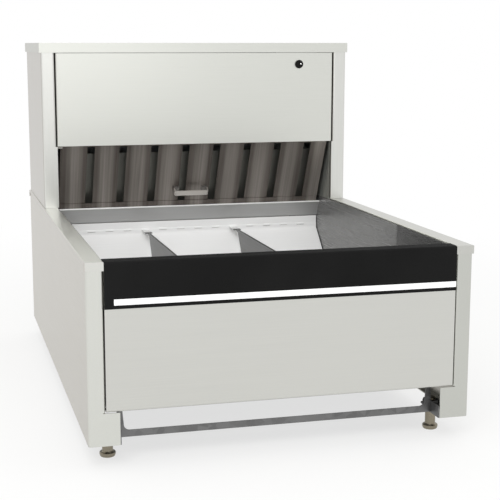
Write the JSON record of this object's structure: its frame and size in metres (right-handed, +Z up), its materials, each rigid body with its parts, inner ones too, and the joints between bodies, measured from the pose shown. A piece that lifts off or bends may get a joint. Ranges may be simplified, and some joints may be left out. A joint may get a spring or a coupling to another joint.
{
  "type": "countertop chip warmer",
  "caption": "Countertop chip warmer: open basin with dividers on a perforated screen, a rear hood with a baffle filter, a blower and a heater, and a hinged service panel.",
  "frame": {"origin": "centre of the footprint on the counter, under the feet", "axes": "+X to the right seen from the front, +Y from the open front to the back of the hood, +Z up"},
  "size_m": [0.457, 0.678, 0.4686],
  "materials": {
    "stainless_side": "satin brushed",
    "stainless_bright": "fine brushed",
    "stainless_mirror": "polished",
    "stainless_screen": "satin",
    "stainless_filter": "satin",
    "black_enamel": "satin",
    "galvanised": "dull",
    "foot_metal": "satin",
    "motor_paint": "satin",
    "heater_sheath": "dull",
    "dark_plastic": "matte",
    "knob_plastic": "satin",
    "pale_plastic": "matte",
    "zinc": "bright",
    "lock_metal": "polished"
  },
  "bodies": {
    "cabinet": {"side_panel_left": "stainless_side", "side_panel_right": "stainless_side", "rail_cap_left": "stainless_bright", "rail_cap_right": "stainless_bright", "front_panel": "stainless_side", "fascia": "black_enamel", "toe_rail": "galvanised", "foot_nut_plates": "zinc", "basin_wall_left": "stainless_mirror", "basin_wall_right": "stainless_mirror", "basin_front_wall": "stainless_mirror", "plenum_floor": "galvanised", "screen_ledges": "stainless_mirror", "base_rear_panel": "stainless_side", "filter_ledge": "stainless_mirror", "filter_rest": "stainless_mirror", "filter_channel": "stainless_mirror", "hood_side_left": "stainless_bright", "hood_side_right": "stainless_bright", "hood_top": "stainless_bright", "hood_rail": "stainless_side", "hood_liner_left": "stainless_mirror", "hood_liner_right": "stainless_mirror", "blower_deck": "galvanised", "inlet_ring": "galvanised", "blower_housing": "galvanised", "blower_lid": "galvanised", "motor": "motor_paint", "motor_legs": "zinc", "duct_front_wall": "galvanised", "duct_side_wall": "galvanised", "heater_element": "heater_sheath", "element_clips": "galvanised", "control_bracket": "galvanised", "thermostat": "dark_plastic", "rocker_housing": "dark_plastic", "terminal_block": "pale_plastic", "high_limit": "dark_plastic", "hood_rear_panel": "stainless_side", "cable_gland": "dark_plastic", "panel_pins": "zinc", "screws": "zinc"},
    "access_panel": {"access_panel": "stainless_bright", "lock_body": "lock_metal"},
    "lock_plug": {"lock_plug": "lock_metal"},
    "filter": {"filter_frame": "stainless_filter", "front_baffles": "stainless_filter", "rear_baffles": "stainless_filter", "filter_handle": "stainless_mirror"},
    "food_screen": {"food_screen": "stainless_screen"},
    "divider_left": {"divider_left": "stainless_mirror"},
    "divider_right": {"divider_right": "stainless_mirror"},
    "crumb_tray": {"crumb_tray": "stainless_screen"},
    "blower_rotor": {"blower_wheel": "zinc"},
    "rocker": {"rocker": "knob_plastic"},
    "thermostat_knob": {"thermostat_knob": "knob_plastic"},
    "foot_front_left": {"foot_front_left": "foot_metal"},
    "foot_front_right": {"foot_front_right": "foot_metal"},
    "foot_rear_left": {"foot_rear_left": "foot_metal"},
    "foot_rear_right": {"foot_rear_right": "foot_metal"}
  },
  "joints": [
    {"name": "access_panel_swing", "type": "hinge", "parent": "cabinet", "child": "access_panel", "pos_m": [-0.202, 0.1121, 0.387], "axis": [0, 0, -1], "range_deg": [0, 105]},
    {"name": "lock_turn", "type": "hinge", "parent": "access_panel", "child": "lock_plug", "pos_m": [0.1533, 0.116, 0.4376], "axis": [0, 1, 0], "range_deg": [0, 90]},
    {"name": "filter_lift", "type": "slide", "parent": "cabinet", "child": "filter", "axis": [0, 0, 1], "range_m": [0, 0.012]},
    {"name": "food_screen_tilt", "type": "hinge", "parent": "cabinet", "child": "food_screen", "pos_m": [0, 0.1749, 0.2], "axis": [-1, 0, 0], "range_deg": [0, 25]},
    {"name": "divider_left_tilt", "type": "hinge", "parent": "food_screen", "child": "divider_left", "pos_m": [-0.06875, 0.1749, 0.187], "axis": [-1, 0, 0], "range_deg": [0, 30]},
    {"name": "divider_right_tilt", "type": "hinge", "parent": "food_screen", "child": "divider_right", "pos_m": [0.06875, 0.1749, 0.187], "axis": [-1, 0, 0], "range_deg": [0, 30]},
    {"name": "crumb_tray_lift", "type": "slide", "parent": "cabinet", "child": "crumb_tray", "axis": [0, 0, 1], "range_m": [0, 0.012]},
    {"name": "blower_spin", "type": "hinge", "parent": "cabinet", "child": "blower_rotor", "pos_m": [-0.07, 0.194, 0.377], "axis": [0, 0, 1], "continuous": true},
    {"name": "rocker_tip", "type": "hinge", "parent": "cabinet", "child": "rocker", "pos_m": [0.162, 0.145, 0.38955], "axis": [-1, 0, 0], "range_deg": [0, 18]},
    {"name": "thermostat_turn", "type": "hinge", "parent": "cabinet", "child": "thermostat_knob", "pos_m": [0.106, 0.136, 0.38955], "axis": [0, 1, 0], "range_deg": [0, 300]},
    {"name": "foot_front_left_level", "type": "slide", "parent": "cabinet", "child": "foot_front_left", "axis": [0, 0, -1], "range_m": [0, 0.01]},
    {"name": "foot_front_right_level", "type": "slide", "parent": "cabinet", "child": "foot_front_right", "axis": [0, 0, -1], "range_m": [0, 0.01]},
    {"name": "foot_rear_left_level", "type": "slide", "parent": "cabinet", "child": "foot_rear_left", "axis": [0, 0, -1], "range_m": [0, 0.01]},
    {"name": "foot_rear_right_level", "type": "slide", "parent": "cabinet", "child": "foot_rear_right", "axis": [0, 0, -1], "range_m": [0, 0.01]}
  ]
}
